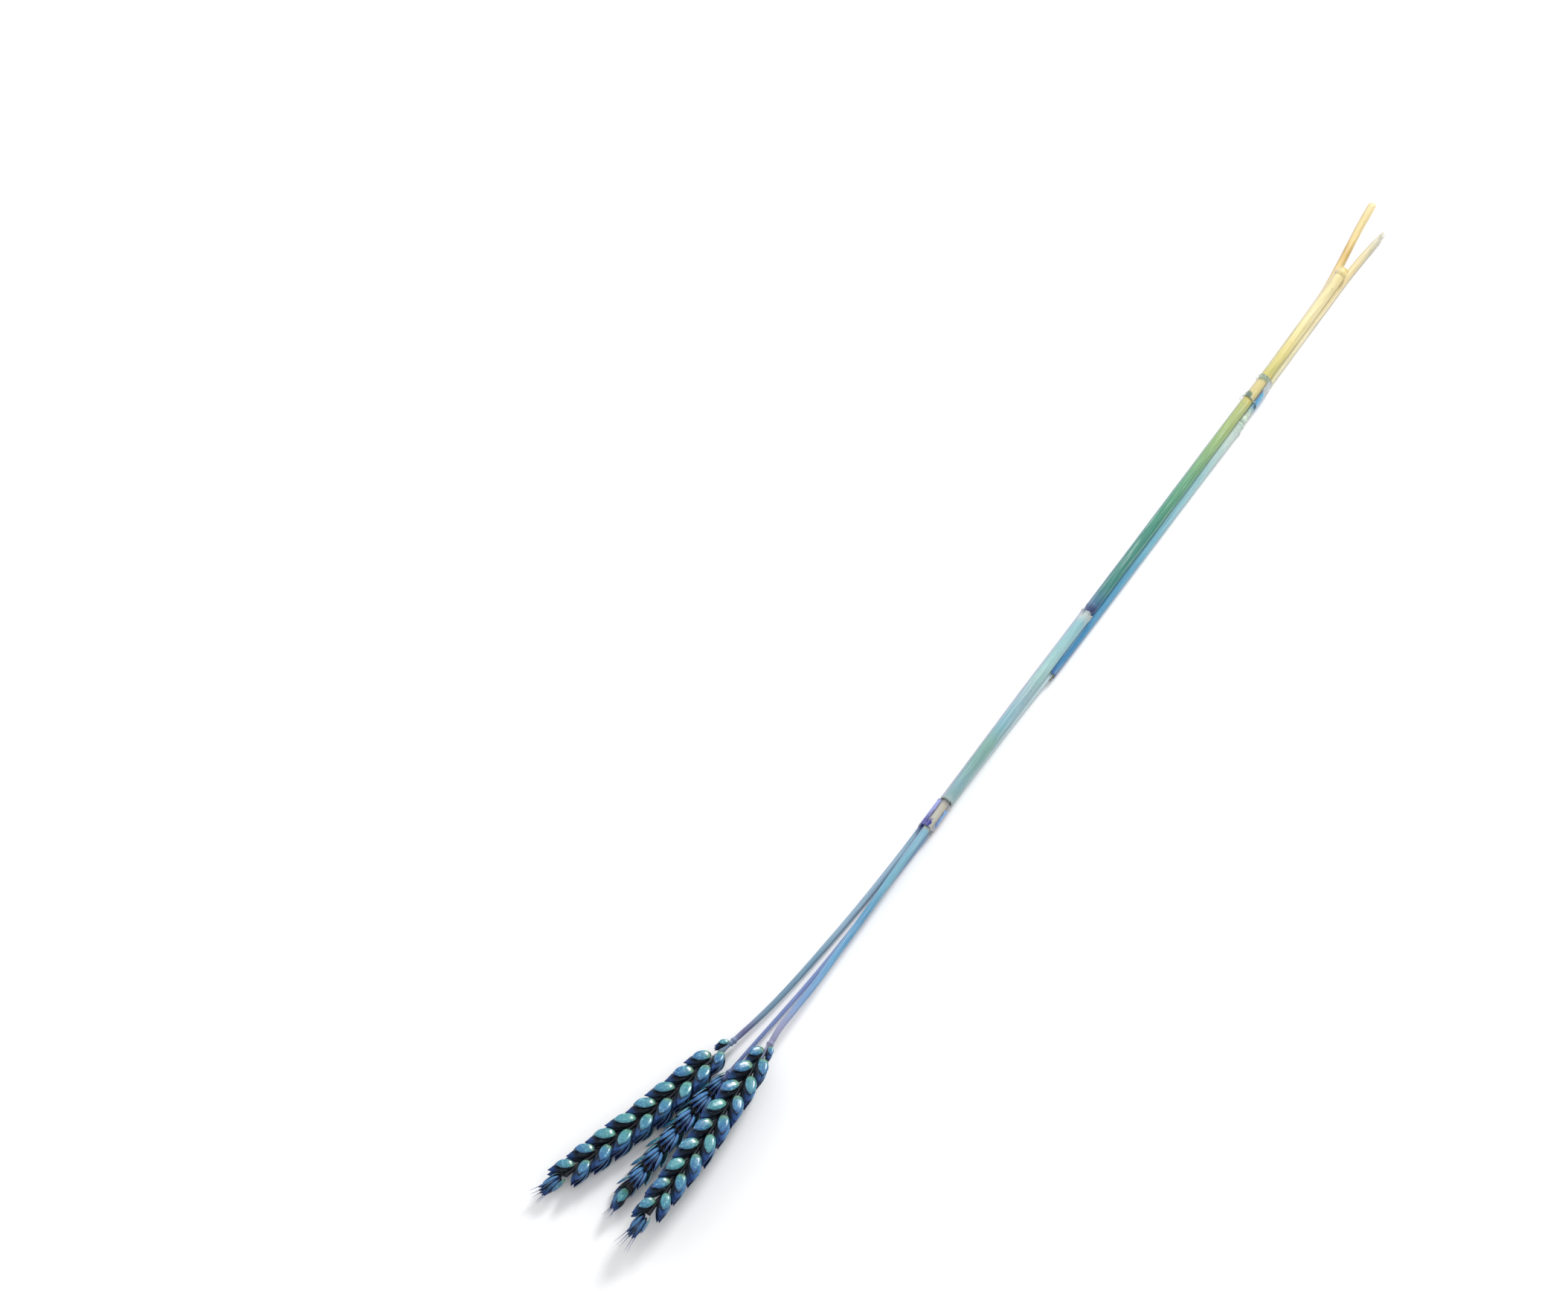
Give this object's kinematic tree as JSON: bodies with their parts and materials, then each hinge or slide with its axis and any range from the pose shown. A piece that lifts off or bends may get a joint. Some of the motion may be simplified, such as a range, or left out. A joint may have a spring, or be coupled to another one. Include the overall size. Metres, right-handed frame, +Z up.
{
  "type": "wheat ear",
  "caption": "Dried wheat ears dyed blue on long straw stalks that fade to yellow at the cut ends, bound side by side with clear tape.",
  "frame": {"origin": "on the surface that the sprig lies on, under the middle of its box", "axes": "+X along the stalks, from the ears to the cut ends, +Z up"},
  "size_m": [0.499, 0.0416, 0.0135],
  "materials": {
    "straw": "dyed dry straw, blue near the ears to straw yellow at the cut ends",
    "leaf_sheath": "thin dry leaf sheath, pale grey blue, satin",
    "husk": "dyed husk, deep blue with pale blue faces, satin",
    "clear_tape": "clear adhesive tape, glossy"
  },
  "bodies": {
    "root": {"straw_left": "straw", "spikelet_left_01": "husk", "spikelet_left_02": "husk", "spikelet_left_03": "husk", "spikelet_left_04": "husk", "spikelet_left_05": "husk", "spikelet_left_06": "husk", "spikelet_left_07": "husk", "spikelet_left_08": "husk", "spikelet_left_09": "husk", "spikelet_left_10": "husk", "spikelet_left_11": "husk", "spikelet_left_12": "husk", "spikelet_left_13": "husk", "spikelet_left_14": "husk", "spikelet_left_15": "husk", "spikelet_left_16": "husk", "spikelet_left_17": "husk", "spikelet_left_18": "husk", "straw_middle": "straw", "leaf_sheath_middle": "leaf_sheath", "spikelet_middle_01": "husk", "spikelet_middle_02": "husk", "spikelet_middle_03": "husk", "spikelet_middle_04": "husk", "spikelet_middle_05": "husk", "spikelet_middle_06": "husk", "spikelet_middle_07": "husk", "spikelet_middle_08": "husk", "spikelet_middle_09": "husk", "spikelet_middle_10": "husk", "spikelet_middle_11": "husk", "spikelet_middle_12": "husk", "spikelet_middle_13": "husk", "spikelet_middle_14": "husk", "straw_right": "straw", "leaf_sheath_right": "leaf_sheath", "spikelet_right_01": "husk", "spikelet_right_02": "husk", "spikelet_right_03": "husk", "spikelet_right_04": "husk", "spikelet_right_05": "husk", "spikelet_right_06": "husk", "spikelet_right_07": "husk", "spikelet_right_08": "husk", "spikelet_right_09": "husk", "spikelet_right_10": "husk", "spikelet_right_11": "husk", "spikelet_right_12": "husk", "spikelet_right_13": "husk", "spikelet_right_14": "husk", "spikelet_right_15": "husk", "spikelet_right_16": "husk", "spikelet_right_17": "husk", "spikelet_right_18": "husk", "spikelet_right_19": "husk", "tape_band_lower": "clear_tape", "tape_band_upper": "clear_tape"}
  },
  "joints": []
}
